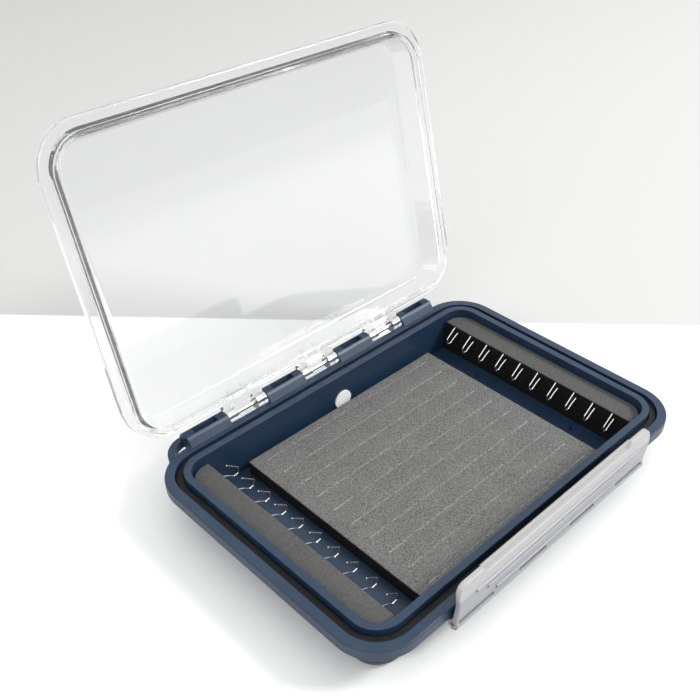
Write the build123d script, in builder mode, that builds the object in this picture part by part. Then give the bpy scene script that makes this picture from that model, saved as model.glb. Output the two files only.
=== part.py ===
from build123d import *
import os
from math import asin, cos, degrees, radians, sin, sqrt

# A pocket fly box standing open on a table, in millimetres.
# Origin: centre of the base's underside. X runs along the hinge, +Y points
# to the hinge, -Y to the latch and +Z up.

# Base shell
rim_length = 151.2
rim_width = 105.8
rim_corner = 15.5
rim_height = 16.9  # underside to the top of the outer rim
rim_round = 0.5
flange_height = 4.2
groove_land = 3.25  # rim edge to the seal groove
groove_width = 2.95
groove_depth = 2.6
band_width = 2.4  # raised band between the groove and the cavity
band_rise = 1.13
wall = 2.3
floor_thickness = 2.0
heel_round = 3.0

# Hinge
axis_behind_rim = 2.2
axis_above_rim = 0.37
hinge_pin_diameter = 1.6
pin_clearance = 0.05
hinge_end_inset = 16.975  # rim's end to the end of the hinge
knuckle_count = 4
knuckle_radius = 3.0
knuckle_flat = 2.6  # axis to the flat on top of a knuckle
window_length = 9.5
window_width = 2.4
window_below_axis = 2.2
pin_inset = 0.6  # pin end to the outer face of the last knuckle
lid_open_angle = 103.4

# Lanyard loop at the rear left corner
loop_radius = 9.9
loop_bar = 2.3
loop_height = 2.9
loop_below_rim = 0.4
loop_under_knuckle = 1.0
loop_before_rim = 3.7  # loop centre to the rim's rear edge

# Lid
lid_side_inset = 0.1  # rim's edge to the lid's
lid_front_overhang = 0.05
lid_rear_inset = 2.3
lid_corner = 15.0
lid_gap = 0.3  # above the rim when closed
lid_flange = 2.5
lid_flange_round = 0.6
tongue_depth = 1.2
tongue_width = 1.6
tongue_clearance = 0.55  # tongue to the groove's outer wall
dome_foot_land = 3.5  # rim edge to the foot of the dome
dome_foot_front = 3.15
dome_side_slope = 4.6
dome_front_slope = 3.05
dome_rise = 6.5
dome_round = 2.0
ceiling_thickness = 1.8
ceiling_round = 1.6
inner_straight = 1.9  # straight inner wall above the tongue's edge
inner_side_slope = 3.6
inner_front_slope = 1.7
leaf_side_gap = 0.15
leaf_thickness = 2.1
boss_radius = 2.5
boss_length = 4.1
boss_relief = 0.3
leaf_edge_to_axis = 2.3
slot_length = 8.0
slot_width = 0.8
slot_to_axis = 3.1
rib_spacing = 6.0
rib_thickness = 1.0
rib_foot = 3.8  # axis to the foot of a rib
rib_drop = 1.2  # rib's tip below the top of the dome
rib_sink = 1.1  # how far a rib runs into the wall

# Latch
pivot_before_rim = 0.7
pivot_below_rim = 5.9
latch_pin_diameter = 1.4
latch_knuckle_radius = 1.5
latch_rest_lean = 8.0  # from snapped shut to the resting place
latch_length = 94.0
latch_height = 16.1  # pivot to the top of the ears
latch_thickness = 1.7
latch_face_gap = 0.3
latch_straight = 6.5  # pivot to where the plate starts to curve
latch_curve = 24.0
latch_plate_start = 1.5  # pivot to the plate's lower edge
latch_bevel = 0.8
lip_radius = 2.1  # bulge in front of the pin
strip_thickness = 0.6  # strip in front of the lugs
strip_below_pivot = 0.5
strip_slit = 0.6
lug_edges = (6.3, 18.5, 31.0)  # from the middle: inner lug's ends, outer lug's start
latch_end_knuckle = 1.0
lug_side_gap = 0.2
lug_radius = 1.3
lug_round = 1.0
lug_reach = 5.6  # rim's front edge to the rear of a lug's foot
lug_foot = 0.2
ear_drop = 1.5
ear_reach = 12.5  # latch's end to the inner end of an ear
ear_shoulder = 2.0
ear_round = 3.0
lip_sheet = 0.6  # thin lip between the ears
foot_narrowing = 0.2
latch_edge_round = 0.4
hook_end_inset = 4.0
hook_overlap = 1.2
hook_thickness = 1.3
hook_gap = 0.4
ridge_heights = (3.6, 8.5, 10.9)
ridge_lengths = (60.0, 70.0, 80.0)
ridge_radius = 0.55
latch_pin_inset = 0.5

# Gasket
gasket_side_gap = 0.15
gasket_height = 1.45
gasket_round = 0.4

# Foam
pad_left_margin = 14.4  # clip block to the pad
pad_right_margin = 12.0
pad_front_margin = 1.3  # wall to the pad
pad_rear_margin = 2.3
pad_thickness = 5.0
slit_count = 10
slit_first = 3.9  # pad's rear edge to the first slit
slit_last = 5.95  # last slit to the pad's front edge
slit_side = 5.6
slit_width = 0.3
slit_depth = 3.0
block_thickness = 8.8
block_height = 13.0
block_wall_gap = 0.2
block_end_gap = 0.7

# Wire clips
clip_count = 10
clip_end_margin = 6.88  # block's end to the first wire
wire_diameter = 0.48
wire_seat = 2.5
wire_seat_gap = 0.05
clip_below_top = 2.0  # block's top to the wire's root
clip_bend = 0.8
# corners of the wire: out from the block's face, up from the root
clip_shape = [(0.7, 0), (2.6, -0.95), (4.7, -2.5), (6.6, -2.3), (6.9, 0.1), (2.5, 3.65)]

# Floor dimples and the white disc on the rear wall
dimple_to_block = 4.4
dimple_y = 22.7
dimple_diameter = 1.4
dimple_depth = 1.4
disc_diameter = 7.5
disc_thickness = 0.5
disc_x = 2.2
disc_above_floor = 4.9

# Worked out from the sizes above
half_length = rim_length / 2
half_width = rim_width / 2
groove_inner = groove_land + groove_width
cavity_inset = groove_inner + band_width
body_inset = cavity_inset - wall
cavity_half_width = half_width - cavity_inset
flange_bottom = rim_height - flange_height
groove_floor = rim_height - groove_depth
axis_y = half_width + axis_behind_rim
axis_z = rim_height + axis_above_rim
hinge_reach = half_length - hinge_end_inset
knuckle_width = 2 * hinge_reach / (2 * knuckle_count - 1)
knuckle_pitch = 2 * knuckle_width
knuckle_span = knuckle_pitch * (knuckle_count - 1)
knuckle_centres = [i * knuckle_pitch - knuckle_span / 2 for i in range(knuckle_count)]
gap_centres = [x + knuckle_width for x in knuckle_centres[:-1]]
bore_radius = hinge_pin_diameter / 2 + pin_clearance
loop_x = loop_under_knuckle - hinge_reach
loop_y = half_width - loop_before_rim
pivot_y = -half_width - pivot_before_rim
pivot_z = rim_height - pivot_below_rim
latch_bore_radius = latch_pin_diameter / 2 + pin_clearance
lug_rear = lug_reach - half_width
foot_half = latch_length / 2 - foot_narrowing
inner_lug, inner_lug_end, outer_lug = lug_edges
outer_lug_end = foot_half - latch_end_knuckle - lug_side_gap
lug_spans = [(-outer_lug_end, -outer_lug), (-inner_lug_end, -inner_lug)]
lug_spans += [(inner_lug, inner_lug_end), (outer_lug, outer_lug_end)]
latch_ends = [(-foot_half - lug_side_gap, -outer_lug_end), (outer_lug_end, foot_half + lug_side_gap)]
latch_spans = [(-outer_lug, -inner_lug_end), (-inner_lug, inner_lug), (inner_lug_end, outer_lug)]
block_face = half_length - cavity_inset - block_wall_gap - block_thickness
block_half_width = cavity_half_width - block_end_gap
block_top = floor_thickness + block_height
pad_left = block_face - pad_left_margin
pad_right = block_face - pad_right_margin
pad_front = cavity_half_width - pad_front_margin
pad_rear = cavity_half_width - pad_rear_margin
slit_pitch = (pad_front + pad_rear - slit_first - slit_last) / (slit_count - 1)
wire_radius = wire_diameter / 2
clip_z = block_top - clip_below_top
clip_span = 2 * (block_half_width - clip_end_margin)
clip_pitch = clip_span / (clip_count - 1)
clip_rows = [clip_span / 2 - i * clip_pitch for i in range(clip_count)]

os.makedirs("parts", exist_ok=True)


def rim_outline(inset, mode=Mode.ADD):
    RectangleRounded(rim_length - 2 * inset, rim_width - 2 * inset, rim_corner - inset, mode=mode)


# Base tub
with BuildPart() as base_tub:
    with BuildSketch(Plane.XY.offset(flange_bottom)):
        rim_outline(0)
    extrude(amount=flange_height)
    fillet(base_tub.faces().sort_by(Axis.Z)[-1].edges(), rim_round)
    fillet(base_tub.faces().sort_by(Axis.Z)[0].edges(), rim_round)
    with BuildSketch():
        rim_outline(body_inset)
    extrude(amount=rim_height - rim_round)
    fillet(base_tub.faces().sort_by(Axis.Z)[0].edges(), heel_round)
    # lanyard loop: a quarter ring round the rear left corner
    with BuildSketch(Plane.XY.offset(rim_height - loop_below_rim - loop_height)):
        with Locations((loop_x, loop_y)):
            Circle(loop_radius)
            Circle(loop_radius - loop_bar, mode=Mode.SUBTRACT)
            Rectangle(loop_radius, loop_radius, align=(Align.MAX, Align.MIN), mode=Mode.INTERSECT)
    extrude(amount=loop_height)
    # hinge knuckles, each with a foot that runs into the side of the rim
    for x in knuckle_centres:
        with BuildSketch(Plane.YZ.offset(x - knuckle_width / 2)):
            with Locations((axis_y, axis_z)):
                Circle(knuckle_radius)
            with Locations((half_width - rim_round, rim_height - rim_round)):
                Rectangle(groove_land / 2, flange_height - rim_round, align=(Align.MAX, Align.MAX))
            make_hull()
            with Locations((axis_y, axis_z + knuckle_flat)):
                Rectangle(4 * knuckle_radius, knuckle_radius, align=(Align.CENTER, Align.MIN),
                          mode=Mode.SUBTRACT)
        extrude(amount=knuckle_width)
    # latch lugs under the front of the rim
    for start, end in lug_spans:
        with BuildSketch(Plane.YZ.offset(start)):
            with Locations((pivot_y, pivot_z)):
                Circle(lug_radius)
            with Locations((lug_rear, flange_bottom)):
                Rectangle(lug_reach - lug_round, lug_foot, align=(Align.MAX, Align.MAX))
            make_hull()
        extrude(amount=end - start)
    # raised inner band
    with BuildSketch(Plane.XY.offset(rim_height - rim_round)):
        rim_outline(groove_inner)
    extrude(amount=band_rise + rim_round)
    # cavity and seal groove
    with BuildSketch(Plane.XY.offset(floor_thickness)):
        rim_outline(cavity_inset)
    extrude(amount=rim_height, mode=Mode.SUBTRACT)
    with BuildSketch(Plane.XY.offset(groove_floor)):
        rim_outline(groove_land)
        rim_outline(groove_inner, mode=Mode.SUBTRACT)
    extrude(amount=groove_depth, mode=Mode.SUBTRACT)
    # windows on the knuckles, the pin's bore and the lid bosses' relief
    for x in knuckle_centres:
        with BuildSketch(Plane.XY.offset(axis_z - window_below_axis)):
            with Locations((x, axis_y)):
                Rectangle(window_length, window_width)
        extrude(amount=2 * knuckle_radius, mode=Mode.SUBTRACT)
    with BuildSketch(Plane.YZ.offset(-hinge_reach)):
        with Locations((axis_y, axis_z)):
            Circle(bore_radius)
    extrude(amount=2 * hinge_reach, mode=Mode.SUBTRACT)
    for x in gap_centres:
        with BuildSketch(Plane.YZ.offset(x - knuckle_width / 2)):
            with Locations((axis_y, axis_z)):
                Circle(boss_radius + boss_relief)
        extrude(amount=knuckle_width, mode=Mode.SUBTRACT)
    with BuildSketch(Plane.YZ.offset(-outer_lug_end)):
        with Locations((pivot_y, pivot_z)):
            Circle(latch_bore_radius)
    extrude(amount=2 * outer_lug_end, mode=Mode.SUBTRACT)
    # dimples in the floor
    with BuildSketch(Plane.XY.offset(floor_thickness)):
        with GridLocations(2 * (block_face - dimple_to_block), 2 * dimple_y, 2, 2):
            Circle(dimple_diameter / 2)
    extrude(amount=-dimple_depth, mode=Mode.SUBTRACT)
base_tub.part.label = "base_tub"
export_step(base_tub.part, "parts/base_tub.step")

# Gasket lying in the groove
with BuildPart() as gasket_seal:
    with BuildSketch(Plane.XY.offset(groove_floor)):
        rim_outline(groove_land + gasket_side_gap)
        rim_outline(groove_inner - gasket_side_gap, mode=Mode.SUBTRACT)
    extrude(amount=gasket_height)
    fillet(gasket_seal.faces().sort_by(Axis.Z)[-1].edges(), gasket_round)
gasket_seal.part.label = "gasket_seal"
export_step(gasket_seal.part, "parts/gasket_seal.step")

# Hinge pin
with BuildPart() as hinge_pin:
    with BuildSketch(Plane.YZ.offset(pin_inset - hinge_reach)):
        with Locations((axis_y, axis_z)):
            Circle(hinge_pin_diameter / 2)
    extrude(amount=2 * (hinge_reach - pin_inset))
hinge_pin.part.label = "hinge_pin"
export_step(hinge_pin.part, "parts/hinge_pin.step")

# Lid, drawn as it lies when closed, on planes that turn with it about the hinge
lid_turn = radians(lid_open_angle)
lid_frame = Plane(origin=(0, axis_y, axis_z), x_dir=(1, 0, 0), z_dir=(0, sin(lid_turn), cos(lid_turn)))
lid_up = Axis((0, 0, 0), lid_frame.z_dir)
lid_low = lid_gap - axis_above_rim  # flange's underside, above the hinge axis
tongue_low = lid_low - tongue_depth
flange_top = lid_low + lid_flange
dome_top = flange_top + dome_rise
dome_foot_x = half_length - dome_foot_land
dome_foot_y = half_width - dome_foot_front
inner_foot_x = half_length - groove_land - tongue_clearance - tongue_width
inner_foot_y = inner_foot_x - half_length + half_width
inner_corner = rim_corner - half_length + inner_foot_x
lid_length = rim_length - 2 * lid_side_inset
lid_width = rim_width + lid_front_overhang - lid_rear_inset
lid_centre = -(lid_front_overhang + lid_rear_inset) / 2 - axis_y
rib_places = [x + side * rib_spacing / 2 for x in gap_centres for side in (-1, 1)]


def lid_level(height):
    return lid_frame.offset(height)


def lid_section(x):
    return Plane(origin=(x, axis_y, axis_z), x_dir=lid_frame.y_dir, z_dir=(1, 0, 0))


def dome_outline(half_x, half_y, corner):
    with Locations((0, -axis_y)):
        RectangleRounded(2 * half_x, 2 * half_y, corner)


with BuildPart() as lid:
    with BuildSketch(lid_level(lid_low)):
        with Locations((0, lid_centre)):
            RectangleRounded(lid_length, lid_width, lid_corner)
    extrude(amount=lid_flange)
    fillet(lid.faces().sort_by(lid_up)[-1].edges(), lid_flange_round)
    fillet(lid.faces().sort_by(lid_up)[0].edges(), lid_flange_round)
    with BuildSketch(lid_level(tongue_low)):
        dome_outline(inner_foot_x + tongue_width, inner_foot_y + tongue_width,
                     rim_corner - groove_land - tongue_clearance)
    extrude(amount=tongue_depth + lid_flange / 2)
    with BuildSketch(lid_level(flange_top - lid_flange / 2)):
        dome_outline(dome_foot_x, dome_foot_y, rim_corner - dome_foot_land)
    extrude(amount=lid_flange / 2)
    with BuildSketch(lid_level(flange_top)):
        dome_outline(dome_foot_x, dome_foot_y, rim_corner - dome_foot_land)
    with BuildSketch(lid_level(dome_top)):
        dome_outline(dome_foot_x - dome_side_slope, dome_foot_y - dome_front_slope,
                     rim_corner - dome_foot_land - dome_side_slope)
    loft()
    fillet(lid.faces().sort_by(lid_up)[-1].edges(), dome_round)
    # hollow: straight by the tongue, then sloping up to the ceiling
    with BuildSketch(lid_level(tongue_low)):
        dome_outline(inner_foot_x, inner_foot_y, inner_corner)
    extrude(amount=inner_straight, mode=Mode.SUBTRACT)
    with BuildSketch(lid_level(tongue_low + inner_straight)):
        dome_outline(inner_foot_x, inner_foot_y, inner_corner)
    with BuildSketch(lid_level(dome_top - ceiling_thickness)):
        dome_outline(inner_foot_x - inner_side_slope, inner_foot_y - inner_front_slope,
                     inner_corner - inner_side_slope)
    loft(mode=Mode.SUBTRACT)
    fillet(lid.faces().filter_by(lid_up).sort_by(lid_up)[-2].edges(), ceiling_round)
    # ribs from the leaves up the rear wall
    for x in rib_places:
        with BuildSketch(lid_section(x - rib_thickness / 2)):
            Polygon((-rib_foot, flange_top - lid_flange / 2),
                    (dome_foot_y - dome_front_slope - axis_y, dome_top - rib_drop),
                    (dome_foot_y - rib_sink - dome_front_slope - axis_y, dome_top - rib_drop),
                    (dome_foot_y - rib_sink - axis_y, flange_top - lid_flange / 2), align=None)
        extrude(amount=rib_thickness)
    # hinge leaves with two bosses each
    for x in gap_centres:
        leaf_width = knuckle_width - 2 * leaf_side_gap
        with BuildSketch(lid_section(x - leaf_width / 2)):
            with Locations((0, lid_low)):
                Rectangle(axis_y - dome_foot_y, leaf_thickness, align=(Align.MAX, Align.MIN))
            Circle(boss_radius)
        extrude(amount=leaf_width)
        with BuildSketch(lid_section(x - leaf_width / 2 + boss_length)):
            with Locations((-leaf_edge_to_axis, 0)):
                Rectangle(leaf_edge_to_axis + 2 * boss_radius, 4 * boss_radius,
                          align=(Align.MIN, Align.CENTER))
        extrude(amount=leaf_width - 2 * boss_length, mode=Mode.SUBTRACT)
        with BuildSketch(lid_level(lid_low)):
            with Locations((x, -slot_to_axis)):
                Rectangle(slot_length, slot_width)
        extrude(amount=leaf_thickness, mode=Mode.SUBTRACT)
    with BuildSketch(lid_section(-hinge_reach)):
        Circle(bore_radius)
    extrude(amount=2 * hinge_reach, mode=Mode.SUBTRACT)
lid.part.label = "lid"
export_step(lid.part, "parts/lid.step")

# Latch, drawn in a frame that leans with it about its pin
lean = radians(latch_rest_lean)
latch_in = (0, cos(lean), sin(lean))
latch_up = (0, -sin(lean), cos(lean))
latch_out = (0, -cos(lean), -sin(lean))
pivot = (0, pivot_y, pivot_z)
lid_front = pivot_before_rim - lid_front_overhang  # pivot to the closed lid's edge
face_inner = lid_front - latch_face_gap
face_outer = face_inner - latch_thickness
curve_angle = degrees(asin((latch_height - latch_straight) / latch_curve))
curve_outer = latch_curve + latch_thickness
curve_centre = (face_inner + latch_curve, latch_straight)
hook_low = pivot_below_rim + lid_gap + lid_flange + hook_gap
ear_half = latch_length / 2
ear_inner = ear_half - ear_reach
valley = latch_height - ear_drop


def latch_section(x):
    return Plane(origin=(x, pivot_y, pivot_z), x_dir=latch_in, z_dir=(1, 0, 0))


def outer_face(height):
    rise = max(height - latch_straight, 0)
    return curve_centre[0] - sqrt(curve_outer ** 2 - rise ** 2)


with BuildPart() as latch:
    with BuildSketch(latch_section(-ear_half)):
        with BuildLine():
            inner = CenterArc(curve_centre, latch_curve, 180, -curve_angle)
            outer = CenterArc(curve_centre, curve_outer, 180, -curve_angle)
            Line(inner @ 1, outer @ 1)
            Polyline(inner @ 0, (face_inner, latch_plate_start + latch_bevel / 2),
                     (face_inner - latch_bevel, latch_plate_start),
                     (face_outer, latch_plate_start), outer @ 0)
        make_face()
    extrude(amount=latch_length)
    with BuildSketch(Plane(origin=pivot, x_dir=(1, 0, 0), z_dir=latch_out)) as latch_outline:
        Polygon((-foot_half, latch_plate_start), (foot_half, latch_plate_start),
                (ear_half, latch_height), (ear_inner + ear_shoulder, latch_height),
                (ear_inner, valley), (-ear_inner, valley),
                (-ear_inner - ear_shoulder, latch_height), (-ear_half, latch_height), align=None)
        tips = latch_outline.vertices().group_by(Axis.Y)[-1].sort_by(Axis.X)
        fillet([tips[0], tips[-1]], ear_round)
    extrude(amount=2 * latch_thickness + latch_curve, both=True, mode=Mode.INTERSECT)
    fillet(latch.edges().group_by(Axis(pivot, latch_up))[2:], latch_edge_round)
    # thin lip that rises to the ears' height
    with BuildSketch(latch_section(-ear_inner - ear_shoulder)):
        with BuildLine():
            inner = CenterArc(curve_centre, latch_curve, 180, -curve_angle)
            outer = CenterArc(curve_centre, latch_curve + lip_sheet, 180, -curve_angle)
            Line(inner @ 0, outer @ 0)
            Line(inner @ 1, outer @ 1)
        make_face()
    extrude(amount=2 * (ear_inner + ear_shoulder))
    # knuckles between the lugs and past the outer ones, bulging on the outside
    for start, end in latch_spans + latch_ends:
        with BuildSketch(latch_section(start + lug_side_gap)):
            Circle(lip_radius)
            Rectangle(lip_radius, 2 * lip_radius, align=(Align.MIN, Align.CENTER), mode=Mode.SUBTRACT)
            Circle(latch_knuckle_radius)
            with Locations((face_outer, 0)):
                Rectangle(latch_thickness, latch_plate_start + latch_bevel, align=(Align.MIN, Align.MIN))
        extrude(amount=end - start - 2 * lug_side_gap)
    # thin strip in front of the lugs
    with BuildSketch(latch_section(-foot_half)):
        Circle(lip_radius)
        Circle(lip_radius - strip_thickness, mode=Mode.SUBTRACT)
        with Locations((0, -strip_below_pivot)):
            Rectangle(lip_radius, strip_below_pivot + latch_plate_start - strip_slit,
                      align=(Align.MAX, Align.MIN), mode=Mode.INTERSECT)
    extrude(amount=2 * foot_half)
    # hook lip over the closed lid's flange
    with BuildSketch(Plane(origin=pivot, x_dir=(1, 0, 0), z_dir=latch_up).offset(hook_low)) as hook:
        Rectangle(latch_length - 2 * hook_end_inset, lid_front + hook_overlap, align=(Align.CENTER, Align.MIN))
        fillet(hook.vertices().group_by(Axis.Y)[-1], hook_overlap)
    extrude(amount=hook_thickness)
    # finger ridges
    for height, length in zip(ridge_heights, ridge_lengths):
        with BuildSketch(latch_section(-length / 2)):
            with Locations((outer_face(height), height)):
                Circle(ridge_radius)
        extrude(amount=length)
    with BuildSketch(latch_section(-ear_half)):
        Circle(latch_bore_radius)
    extrude(amount=latch_length, mode=Mode.SUBTRACT)
latch.part.label = "latch"
export_step(latch.part, "parts/latch.step")

# Latch pin
with BuildPart() as latch_pin:
    with BuildSketch(Plane.YZ.offset(latch_pin_inset - outer_lug_end)):
        with Locations((pivot_y, pivot_z)):
            Circle(latch_pin_diameter / 2)
    extrude(amount=2 * (outer_lug_end - latch_pin_inset))
latch_pin.part.label = "latch_pin"
export_step(latch_pin.part, "parts/latch_pin.step")

# Foam pad with slits for hooks
with BuildPart() as slit_foam_pad:
    with BuildSketch(Plane.XY.offset(floor_thickness)):
        with Locations((-pad_left, -pad_front)):
            Rectangle(pad_left + pad_right, pad_front + pad_rear, align=Align.MIN)
    extrude(amount=pad_thickness)
    for i in range(slit_count):
        with BuildSketch(Plane.XY.offset(floor_thickness + pad_thickness)):
            with Locations(((pad_right - pad_left) / 2, pad_rear - slit_first - i * slit_pitch)):
                Rectangle(pad_left + pad_right - 2 * slit_side, slit_width)
        extrude(amount=-slit_depth, mode=Mode.SUBTRACT)
slit_foam_pad.part.label = "slit_foam_pad"
export_step(slit_foam_pad.part, "parts/slit_foam_pad.step")

# Clip blocks along the short walls, and their wire clips
for side, facing in (("left", -1), ("right", 1)):
    with BuildPart() as clip_block:
        with BuildSketch(Plane.XY.offset(floor_thickness)):
            rim_outline(cavity_inset + block_wall_gap)
            with Locations((facing * block_face, 0)):
                Rectangle(half_length, 2 * block_half_width,
                          align=(Align.MIN if facing > 0 else Align.MAX, Align.CENTER),
                          mode=Mode.INTERSECT)
        extrude(amount=block_height)
        with BuildSketch(Plane.YZ.offset(facing * block_face)):
            with Locations([(y, clip_z) for y in clip_rows]):
                Circle(wire_radius + wire_seat_gap)
        extrude(amount=facing * wire_seat, mode=Mode.SUBTRACT)
    clip_block.part.label = f"{side}_clip_block"
    export_step(clip_block.part, f"parts/{side}_clip_block.step")
    for number, y in enumerate(clip_rows, start=1):
        clip_plane = Plane(origin=(0, y, clip_z), x_dir=(facing, 0, 0), z_dir=(0, -facing, 0))
        with BuildPart() as wire_clip:
            with BuildLine(clip_plane) as wire_path:
                corners = [(block_face - out, up) for out, up in clip_shape]
                FilletPolyline((block_face + wire_seat, 0), *corners, radius=clip_bend)
            with BuildSketch(Plane(origin=wire_path.line @ 0, z_dir=wire_path.line % 0)):
                Circle(wire_radius)
            sweep()
        wire_clip.part.label = f"wire_clip_{side}_{number:02d}"
        export_step(wire_clip.part, f"parts/wire_clip_{side}_{number:02d}.step")

# White disc on the rear wall
with BuildPart() as indicator_disc:
    with BuildSketch(Plane.XZ.offset(-cavity_half_width)):
        with Locations((disc_x, floor_thickness + disc_above_floor)):
            Circle(disc_diameter / 2)
    extrude(amount=disc_thickness)
indicator_disc.part.label = "indicator_disc"
export_step(indicator_disc.part, "parts/indicator_disc.step")
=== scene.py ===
from math import cos, radians, sin
import bmesh
import bpy
from mathutils import Matrix, Vector, noise


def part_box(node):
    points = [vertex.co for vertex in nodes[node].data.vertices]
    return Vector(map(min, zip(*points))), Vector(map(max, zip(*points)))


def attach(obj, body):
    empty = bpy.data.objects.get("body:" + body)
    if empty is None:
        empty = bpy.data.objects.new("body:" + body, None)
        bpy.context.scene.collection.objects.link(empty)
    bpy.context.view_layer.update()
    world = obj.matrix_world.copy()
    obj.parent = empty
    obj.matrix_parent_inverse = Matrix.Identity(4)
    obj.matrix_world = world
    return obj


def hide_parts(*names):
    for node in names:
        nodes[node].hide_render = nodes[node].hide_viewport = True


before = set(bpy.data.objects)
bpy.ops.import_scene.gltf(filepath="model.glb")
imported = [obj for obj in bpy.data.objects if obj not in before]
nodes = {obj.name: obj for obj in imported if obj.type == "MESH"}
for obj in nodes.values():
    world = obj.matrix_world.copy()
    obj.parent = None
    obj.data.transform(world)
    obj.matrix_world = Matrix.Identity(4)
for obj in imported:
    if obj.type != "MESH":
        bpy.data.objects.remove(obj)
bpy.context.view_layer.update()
print("frame loaded,", len(nodes), "nodes")

mm = 0.001
tiny = 0.001 * mm  # closer than this counts as the same place


def newMaterial(name, **sockets):
    material = bpy.data.materials.new(name)
    material.use_nodes = True
    shader = material.node_tree.nodes["Principled BSDF"]
    for socket, value in sockets.items():
        shader.inputs[socket.replace("_", " ")].default_value = value
    return material, material.node_tree, shader


def addNode(tree, kind, inputs=None, **settings):
    node = tree.nodes.new("ShaderNode" + kind)
    for name, value in settings.items():
        setattr(node, name, value)
    for socket, value in (inputs or {}).items():
        if isinstance(value, bpy.types.NodeSocket):
            tree.links.new(value, node.inputs[socket])
        else:
            node.inputs[socket].default_value = value
    return node


def objectPlace(tree, stretch=(1, 1, 1)):
    place = addNode(tree, "TexCoord").outputs["Object"]
    return addNode(tree, "Mapping", {"Vector": place, "Scale": stretch}).outputs["Vector"]


def grain(tree, place, size, detail=3, roughness=0.5):
    return addNode(tree, "TexNoise", {"Vector": place, "Scale": 1 / size, "Detail": detail,
                                      "Roughness": roughness}).outputs["Fac"]


def between(tree, value, low, high, fromLow=0.3, fromHigh=0.7):
    return addNode(tree, "MapRange", {"Value": value, "From Min": fromLow, "From Max": fromHigh,
                                      "To Min": low, "To Max": high}).outputs["Result"]


# most of the noise lies between these two
def tint(tree, factor, dark, light, fromLow=0.3, fromHigh=0.7):
    ramp = addNode(tree, "ValToRGB", {"Fac": factor})
    for element, place, colour in zip(ramp.color_ramp.elements, (fromLow, fromHigh), (dark, light)):
        element.position = place
        element.color = (*colour, 1)
    return ramp.outputs["Color"]


def mixColours(tree, factor, first, second):
    return addNode(tree, "Mix", {"Factor": factor, 6: first, 7: second}, data_type="RGBA").outputs[2]


def mathNode(tree, operation, first, second=0.0):
    return addNode(tree, "Math", {0: first, 1: second}, operation=operation).outputs[0]


def dotNode(tree, first, second):
    return addNode(tree, "VectorMath", {0: first, 1: second}, operation="DOT_PRODUCT").outputs["Value"]


def bump(tree, height, depth, strength=1.0, under=None):
    node = addNode(tree, "Bump", {"Height": height, "Distance": depth, "Strength": strength})
    if under is not None:
        tree.links.new(under, node.inputs["Normal"])
    return node.outputs["Normal"]


def softEdges(tree, radius):
    return addNode(tree, "Bevel", {"Radius": radius}, samples=4).outputs["Normal"]


def useMaterial(piece, material):
    piece.data.materials.clear()
    piece.data.materials.append(material)


def dressNode(name, material):
    for slot in nodes[name].material_slots:
        slot.material = material


def finishPiece(work, name, material, body):
    mesh = bpy.data.meshes.new(name)
    work.to_mesh(mesh)
    work.free()
    piece = bpy.data.objects.new(name, mesh)
    bpy.context.scene.collection.objects.link(piece)
    useMaterial(piece, material)
    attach(piece, body)
    return piece


def smoothBelow(piece, angle):
    for face in piece.data.polygons:
        face.use_smooth = True
    piece.data.set_sharp_from_angle(angle=radians(angle))


navyValues = {"shade": (0.008, 0.023, 0.050), "light": (0.012, 0.030, 0.062), "gloss": 0.42,
              "roughLow": 0.34, "roughHigh": 0.46, "edgeRound": 0.35 * mm, "flowSize": 14 * mm,
              "grainSize": 0.35 * mm, "grainDepth": 0.012 * mm, "grainStrength": 0.6,
              "scuffSize": 0.5 * mm, "scuffStretch": (0.08, 1, 1)}


def navyPlastic():
    v = navyValues
    material, tree, shader = newMaterial("navyPlastic", Specular_IOR_Level=v["gloss"])
    place = objectPlace(tree)
    flow = grain(tree, place, v["flowSize"])
    fine = grain(tree, place, v["grainSize"], detail=2)
    scuff = grain(tree, objectPlace(tree, v["scuffStretch"]), v["scuffSize"], detail=4, roughness=0.7)
    tree.links.new(tint(tree, flow, v["shade"], v["light"]), shader.inputs["Base Color"])
    tree.links.new(between(tree, scuff, v["roughHigh"], v["roughLow"]), shader.inputs["Roughness"])
    edges = softEdges(tree, v["edgeRound"])
    tree.links.new(bump(tree, fine, v["grainDepth"], v["grainStrength"], edges), shader.inputs["Normal"])
    return material


dressNode("base_tub", navyPlastic())
print("base done")

sealValues = {"shade": (0.006, 0.006, 0.0065), "light": (0.011, 0.011, 0.011), "gloss": 0.22,
              "roughLow": 0.44, "roughHigh": 0.62, "dustSize": 1.2 * mm,
              "grainSize": 0.25 * mm, "grainDepth": 0.01 * mm, "grainStrength": 0.7}


def sealRubber():
    v = sealValues
    material, tree, shader = newMaterial("sealRubber", Specular_IOR_Level=v["gloss"])
    place = objectPlace(tree)
    dust = grain(tree, place, v["dustSize"], detail=5, roughness=0.65)
    fine = grain(tree, place, v["grainSize"], detail=2)
    tree.links.new(tint(tree, dust, v["shade"], v["light"]), shader.inputs["Base Color"])
    tree.links.new(between(tree, dust, v["roughLow"], v["roughHigh"]), shader.inputs["Roughness"])
    tree.links.new(bump(tree, fine, v["grainDepth"], v["grainStrength"]), shader.inputs["Normal"])
    return material


dressNode("gasket_seal", sealRubber())
print("seal done")

steelValues = {"lineSize": 0.12 * mm, "lineDepth": 0.002 * mm, "lineStrength": 0.5, "lineShade": 0.92}
pinValues = {"colour": (0.78, 0.78, 0.77), "rough": (0.16, 0.30), "stretch": (0.03, 1, 1)}
wireValues = {"colour": (0.86, 0.86, 0.85), "rough": (0.12, 0.24), "stretch": (0.15, 0.15, 0.15)}


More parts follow.
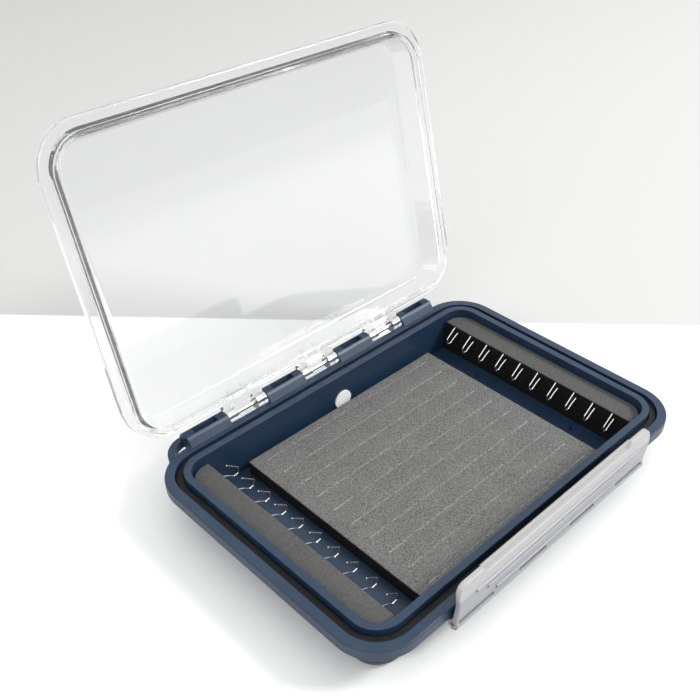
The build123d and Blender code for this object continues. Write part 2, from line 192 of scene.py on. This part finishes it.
def brightSteel(name, colour, rough, stretch):
    v = steelValues
    material, tree, shader = newMaterial(name, Metallic=1.0)
    lines = grain(tree, objectPlace(tree, stretch), v["lineSize"])
    dark = [c * v["lineShade"] for c in colour]
    tree.links.new(tint(tree, lines, dark, colour), shader.inputs["Base Color"])
    tree.links.new(between(tree, lines, *rough), shader.inputs["Roughness"])
    tree.links.new(bump(tree, lines, v["lineDepth"], v["lineStrength"]), shader.inputs["Normal"])
    return material


pinSteel = brightSteel("pinSteel", **pinValues)
wireSteel = brightSteel("wireSteel", **wireValues)
for name in ("hinge_pin", "latch_pin"):
    dressNode(name, pinSteel)
for name in nodes:
    if name.startswith("wire_clip"):
        dressNode(name, wireSteel)
print("pins and wires done")

discValues = {"shade": (0.74, 0.74, 0.71), "light": (0.84, 0.84, 0.82), "rough": 0.62,
              "fibreSize": 0.4 * mm, "fibreStretch": (1, 1, 0.35), "fibreDepth": 0.01 * mm,
              "fibreStrength": 0.6}


def whitePaper():
    v = discValues
    material, tree, shader = newMaterial("whitePaper", Roughness=v["rough"])
    fibre = grain(tree, objectPlace(tree, v["fibreStretch"]), v["fibreSize"], detail=5, roughness=0.65)
    tree.links.new(tint(tree, fibre, v["shade"], v["light"]), shader.inputs["Base Color"])
    tree.links.new(bump(tree, fibre, v["fibreDepth"], v["fibreStrength"]), shader.inputs["Normal"])
    return material


dressNode("indicator_disc", whitePaper())
print("indicator disc done")

lidValues = {"colour": (0.985, 0.988, 0.99, 1), "clear": 0.985, "ior": 1.49,
             "roughLow": 0.0, "roughHigh": 0.035, "smudgeSize": 22 * mm, "smudgeRange": (0.4, 0.75),
             "flowSize": 30 * mm, "flowDepth": 0.02 * mm, "flowStrength": 0.5}


def clearPlastic():
    v = lidValues
    material, tree, shader = newMaterial("clearPlastic", IOR=v["ior"], Transmission_Weight=v["clear"],
                                         Base_Color=v["colour"])
    place = objectPlace(tree)
    smudge = grain(tree, place, v["smudgeSize"], detail=4, roughness=0.6)
    flow = grain(tree, place, v["flowSize"], detail=1)
    rough = between(tree, smudge, v["roughLow"], v["roughHigh"], *v["smudgeRange"])
    tree.links.new(rough, shader.inputs["Roughness"])
    tree.links.new(bump(tree, flow, v["flowDepth"], v["flowStrength"]), shader.inputs["Normal"])
    return material


dressNode("lid", clearPlastic())
print("lid done")

latchValues = {"lower": (0.300, 0.303, 0.330), "upper": (0.410, 0.412, 0.405), "cloud": 0.9,
               "paintedLightFrom": 21.6 * mm, "paintedLightTo": 22.6 * mm, "ior": 1.47, "transmission": 0.16,
               "roughLow": 0.30, "roughHigh": 0.38, "cloudSize": 7 * mm, "grainSize": 0.3 * mm,
               "grainDepth": 0.006 * mm, "grainStrength": 0.6, "edgeRound": 0.3 * mm}


# frosted plastic, with painted light above the ridges: the band there is paler as if its shoulder caught
# more light from above
def frostedPlastic():
    v = latchValues
    material, tree, shader = newMaterial("frostedPlastic", IOR=v["ior"],
                                         Transmission_Weight=v["transmission"])
    place = objectPlace(tree)
    cloud = grain(tree, place, v["cloudSize"])
    fine = grain(tree, place, v["grainSize"], detail=2)
    height = addNode(tree, "SeparateXYZ", {"Vector": place}).outputs["Z"]
    # painted light: above this height the colour turns paler
    above = between(tree, height, 0, 1, v["paintedLightFrom"], v["paintedLightTo"])
    lower = tint(tree, cloud, [c * v["cloud"] for c in v["lower"]], v["lower"])
    upper = tint(tree, fine, [c * v["cloud"] for c in v["upper"]], v["upper"])
    tree.links.new(mixColours(tree, above, lower, upper), shader.inputs["Base Color"])
    tree.links.new(between(tree, cloud, v["roughLow"], v["roughHigh"]), shader.inputs["Roughness"])
    edges = softEdges(tree, v["edgeRound"])
    tree.links.new(bump(tree, fine, v["grainDepth"], v["grainStrength"], edges), shader.inputs["Normal"])
    return material


dressNode("latch", frostedPlastic())
print("latch done")

foamValues = {"colour": (0.1225, 0.1225, 0.119), "cutAndPaintedShade": 0.10, "topRange": (0.3, 0.9),
              "slitHighlightColour": (0.42, 0.42, 0.41, 1), "lineShow": 0.55, "lineCore": 0.4,
              "raggedLow": 0.45, "raggedRange": (0.4, 0.6), "gloss": 0.12, "rough": 0.9,
              "cellSize": 0.42 * mm, "cellDepth": 0.12 * mm, "cellStrength": 0.5,
              "speckleRatio": 1.3, "cloudSize": 9 * mm, "cloudShare": 0.12}


# painted highlights: the lips of the slits catch the light as thin paler lines
def paintedSlitHighlights(tree, place, speckle, skin, firstRow, pitch, half, middle, reach):
    v = foamValues
    parts = addNode(tree, "SeparateXYZ", {"Vector": place}).outputs
    aside = mathNode(tree, "ABSOLUTE", mathNode(tree, "ADD", parts["X"], -middle))
    within = between(tree, aside, 1, 0, reach, reach + half)
    row = mathNode(tree, "PINGPONG", mathNode(tree, "ADD", parts["Y"], -firstRow), pitch / 2)
    line = between(tree, row, 1, 0, v["lineCore"] * half, half)
    ragged = between(tree, speckle, v["raggedLow"], 1, *v["raggedRange"])
    amount = mathNode(tree, "MULTIPLY", mathNode(tree, "MULTIPLY", line, ragged), within)
    return mixColours(tree, mathNode(tree, "MULTIPLY", amount, v["lineShow"]), skin, v["slitHighlightColour"])


# sides are darker than the skin on top: partly the foam's own sliced cells, partly painted shade on faces
# that turn away from the top
def closedCellFoam(name, gain, speckled, slits=None):
    v = foamValues
    material, tree, shader = newMaterial(name, Roughness=v["rough"], Specular_IOR_Level=v["gloss"])
    place = objectPlace(tree)
    cells = addNode(tree, "TexVoronoi", {"Vector": place, "Scale": 1 / v["cellSize"]}).outputs["Distance"]
    speckle = grain(tree, place, v["cellSize"] * v["speckleRatio"], detail=2)
    cloud = grain(tree, place, v["cloudSize"])
    mixed = addNode(tree, "Mix", {"Factor": v["cloudShare"], 2: speckle, 3: cloud}).outputs[0]
    colour = [c * gain for c in v["colour"]]
    skin = tint(tree, mixed, [c * (1 - speckled) for c in colour], [c * (1 + speckled) for c in colour])
    # painted shade, partly real: the sides take a darker copy of the skin
    cutAndShadedSides = addNode(tree, "VectorMath", {0: skin, "Scale": v["cutAndPaintedShade"]}, operation="SCALE").outputs[0]
    if slits:
        skin = paintedSlitHighlights(tree, place, speckle, skin, *slits)
    facing = addNode(tree, "NewGeometry").outputs["True Normal"]
    facing = addNode(tree, "SeparateXYZ", {"Vector": facing}).outputs["Z"]
    top = between(tree, facing, 0, 1, *v["topRange"])
    tree.links.new(mixColours(tree, top, cutAndShadedSides, skin), shader.inputs["Base Color"])
    tree.links.new(bump(tree, cells, v["cellDepth"], v["cellStrength"]), shader.inputs["Normal"])
    return material


def cubeBetween(low, high):
    work = bmesh.new()
    middle = Matrix.Translation((low + high) / 2)
    bmesh.ops.create_cube(work, size=1, matrix=middle @ Matrix.Diagonal((*(high - low), 1)))
    return work


def roundEdges(work, edges, offset, segments):
    bmesh.ops.bevel(work, geom=edges, offset=offset, affect="EDGES", segments=segments, profile=0.5,
                    material=-1)


def cutAcross(work, point, normal):
    everything = work.verts[:] + work.edges[:] + work.faces[:]
    bmesh.ops.bisect_plane(work, geom=everything, plane_co=point, plane_no=normal)


padValues = {"gain": 1.0, "speckled": 0.46, "slitCount": 10, "slitDepth": 2.4 * mm, "slitHalf": 0.06 * mm,
             "lipHalf": 0.7 * mm, "lipSink": 0.10 * mm, "lineHalf": 0.32 * mm, "slitSide": 5.6 * mm,
             "slitFirst": 3.9 * mm, "slitLast": 5.95 * mm, "slitParts": 14, "edgeRound": 0.45 * mm,
             "edgeSegments": 3, "wave": 0.07 * mm, "waveSize": 16 * mm, "waveSeed": 3.1, "sharpAngle": 40}


def slitPad():
    v = padValues
    low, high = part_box("slit_foam_pad")
    work = cubeBetween(low, high)
    upper = [e for e in work.edges if (e.verts[0].co + e.verts[1].co).z > low.z + high.z]
    roundEdges(work, upper, v["edgeRound"], v["edgeSegments"])
    firstRow = high.y - v["slitFirst"]
    pitch = (high.y - low.y - v["slitFirst"] - v["slitLast"]) / (v["slitCount"] - 1)
    rows = [firstRow - i * pitch for i in range(v["slitCount"])]
    for row in rows:
        for step in (-v["lipHalf"], -v["slitHalf"], 0, v["slitHalf"], v["lipHalf"]):
            cutAcross(work, (0, row + step, 0), (0, 1, 0))
        cutAcross(work, (0, row - pitch / 2, 0), (0, 1, 0))
    left, right = low.x + v["slitSide"], high.x - v["slitSide"]
    for i in range(v["slitParts"] + 1):
        cutAcross(work, (left + (right - left) * i / v["slitParts"], 0, 0), (1, 0, 0))
    for vert in work.verts:
        if vert.co.z < high.z - tiny:
            continue
        spot = vert.co / v["waveSize"]
        vert.co.z -= v["wave"] * (0.5 + 0.5 * noise.noise(Vector((spot.x, spot.y, v["waveSeed"]))))
        if left - tiny < vert.co.x < right + tiny:
            nearest = min(abs(vert.co.y - row) for row in rows)
            if nearest < tiny and left + 10 * tiny < vert.co.x < right - 10 * tiny:
                vert.co.z -= v["slitDepth"]
            elif nearest < v["slitHalf"] + tiny:
                vert.co.z -= v["lipSink"]
    bmesh.ops.triangulate(work, faces=work.faces)
    slits = (firstRow, pitch, v["lineHalf"], (left + right) / 2, (right - left) / 2)
    padFoam = closedCellFoam("padFoam", v["gain"], v["speckled"], slits)
    piece = finishPiece(work, "slitPad", padFoam, "base")
    smoothBelow(piece, v["sharpAngle"])
    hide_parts("slit_foam_pad")


blockValues = {"gain": 0.64, "speckled": 0.22, "cornerRound": 6.7 * mm, "cornerSegments": 8,
               "edgeRound": 0.4 * mm, "edgeSegments": 3, "sharpAngle": 40}
blockFoam = closedCellFoam("blockFoam", blockValues["gain"], blockValues["speckled"])


# the two upright corners against the tub's wall are round
def clipBlock(node, name, side):
    v = blockValues
    low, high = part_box(node)
    work = cubeBetween(low, high)
    centre, size = (low + high) / 2, high - low
    outer = [e for e in work.edges if all(side * (p.co.x - centre.x) > 0 for p in e.verts)
             and abs(e.verts[0].co.z - e.verts[1].co.z) > size.z / 2]
    roundEdges(work, outer, v["cornerRound"], v["cornerSegments"])
    upper = [e for e in work.edges if min(p.co.z for p in e.verts) > centre.z]
    roundEdges(work, upper, v["edgeRound"], v["edgeSegments"])
    piece = finishPiece(work, name, blockFoam, "base")
    smoothBelow(piece, v["sharpAngle"])
    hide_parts(node)


slitPad()
clipBlock("left_clip_block", "leftBlock", -1)
clipBlock("right_clip_block", "rightBlock", 1)
print("foam done")

cameraValues = {"eye": (-0.1707, -0.1513, 0.2206), "azimuth": -46.192, "elevation": 38.6, "roll": 0.93,
                "focalPixels": 908.703, "imagePixels": 700, "centreRight": 50.819, "centreDown": 37.123,
                "sensor": 36, "nearest": 10 * mm}


# right, up and back, as the camera sees them
def cameraAxes():
    az, el, roll = (radians(cameraValues[k]) for k in ("azimuth", "elevation", "roll"))
    back = Vector((sin(az) * cos(el), -cos(az) * cos(el), sin(el)))
    right = Vector((0, 0, 1)).cross(back).normalized()
    up = back.cross(right)
    return right * cos(roll) + up * sin(roll), up * cos(roll) - right * sin(roll), back


def placeCamera():
    v = cameraValues
    data = bpy.data.cameras.new("camera")
    camera = bpy.data.objects.new("camera", data)
    bpy.context.scene.collection.objects.link(camera)
    turned = Matrix(cameraAxes()).transposed()
    camera.matrix_world = Matrix.Translation(v["eye"]) @ turned.to_4x4()
    data.sensor_width = v["sensor"]
    data.lens = v["focalPixels"] / v["imagePixels"] * v["sensor"]
    data.shift_x = -v["centreRight"] / v["imagePixels"]
    data.shift_y = v["centreDown"] / v["imagePixels"]
    data.clip_start = v["nearest"]
    bpy.context.scene.camera = camera


tableValues = {"size": 6.0, "rough": 0.55, "nearColour": (0.77, 0.772, 0.76),
               "farShadedLeft": (0.40, 0.403, 0.390), "farLitRight": (0.485, 0.488, 0.477),
               "paintedLightRange": (-0.76, -0.10), "paintedLightRight": 0.8, "paintedLightAway": 0.6,
               "edgeDistance": 0.3217, "edgeSoft": 0.4 * mm}


# white table top, a shade darker beyond a line behind the box; there painted light makes it lighter
# towards the right and towards the box
def tableTop():
    v = tableValues
    work = bmesh.new()
    bmesh.ops.create_grid(work, x_segments=4, y_segments=4, size=v["size"] / 2)
    mesh = bpy.data.meshes.new("tableTop")
    work.to_mesh(mesh)
    work.free()
    table = bpy.data.objects.new("tableTop", mesh)
    bpy.context.scene.collection.objects.link(table)
    material, tree, shader = newMaterial("tableWhite", Roughness=v["rough"])
    right, _, back = cameraAxes()
    right = Vector((right.x, right.y, 0)).normalized()
    away = -Vector((back.x, back.y, 0)).normalized()
    edge = v["edgeDistance"] + away.dot(Vector(cameraValues["eye"]))
    # painted light: the far part lightens along this direction
    paintedLightDirection = right * v["paintedLightRight"] - away * v["paintedLightAway"]
    place = addNode(tree, "TexCoord").outputs["Object"]
    distance = dotNode(tree, place, away)
    paintedLightAcross = dotNode(tree, place, paintedLightDirection)
    beyond = between(tree, distance, 0, 1, edge - v["edgeSoft"], edge + v["edgeSoft"])
    paintedLightAcross = between(tree, paintedLightAcross, 0, 1, *v["paintedLightRange"])
    far = mixColours(tree, paintedLightAcross, (*v["farShadedLeft"], 1), (*v["farLitRight"], 1))
    colour = mixColours(tree, beyond, (*v["nearColour"], 1), far)
    tree.links.new(colour, shader.inputs["Base Color"])
    useMaterial(table, material)


lightValues = {"above": (1.34, 1.35, 1.36), "horizon": (0.62, 0.63, 0.64), "skyRange": (0.0, 0.6),
               "patch": (0.26, 0.26, 0.27), "patchSize": 0.55, "patchAmount": 0.6,
               "patchRange": (0.42, 0.62), "patchFade": (0.1, 0.55)}
lamps = {"keyLight": {"place": (0.80, -0.80, 0.98), "size": 0.36, "power": 17},
         "fillLight": {"place": (-0.95, -0.25, 0.75), "size": 0.5, "power": 2}}
lampTarget = (0, 0, 10 * mm)


def softLight(name, place, size, power):
    data = bpy.data.lights.new(name, "AREA")
    data.shape = "SQUARE"
    data.size = size
    data.energy = power
    lamp = bpy.data.objects.new(name, data)
    bpy.context.scene.collection.objects.link(lamp)
    aim = (Vector(lampTarget) - Vector(place)).to_track_quat("-Z", "Y")
    lamp.matrix_world = Matrix.Translation(place) @ aim.to_matrix().to_4x4()


# bright overhead, greyer with soft patches towards the horizon
def studioLight():
    v = lightValues
    world = bpy.data.worlds.new("studio")
    world.use_nodes = True
    tree = world.node_tree
    towards = addNode(tree, "TexCoord").outputs["Generated"]
    height = addNode(tree, "SeparateXYZ", {"Vector": towards}).outputs["Z"]
    rise = between(tree, height, 0, 1, *v["skyRange"])
    sky = mixColours(tree, rise, (*v["horizon"], 1), (*v["above"], 1))
    patches = grain(tree, towards, v["patchSize"], detail=1)
    patches = between(tree, patches, 0, v["patchAmount"], *v["patchRange"])
    low = between(tree, height, 1, 0, *v["patchFade"])
    room = mixColours(tree, mathNode(tree, "MULTIPLY", patches, low), sky, (*v["patch"], 1))
    tree.links.new(room, tree.nodes["Background"].inputs["Color"])
    bpy.context.scene.world = world
    for name, lamp in lamps.items():
        softLight(name, **lamp)


tableTop()
placeCamera()
studioLight()
bpy.context.scene.view_settings.view_transform = "Standard"
clearBounces = 32  # the clear rims pass light on many times
bpy.context.scene.cycles.max_bounces = clearBounces
bpy.context.scene.cycles.transmission_bounces = clearBounces
bpy.context.scene.cycles.glossy_bounces = clearBounces
print("table, light and camera done")
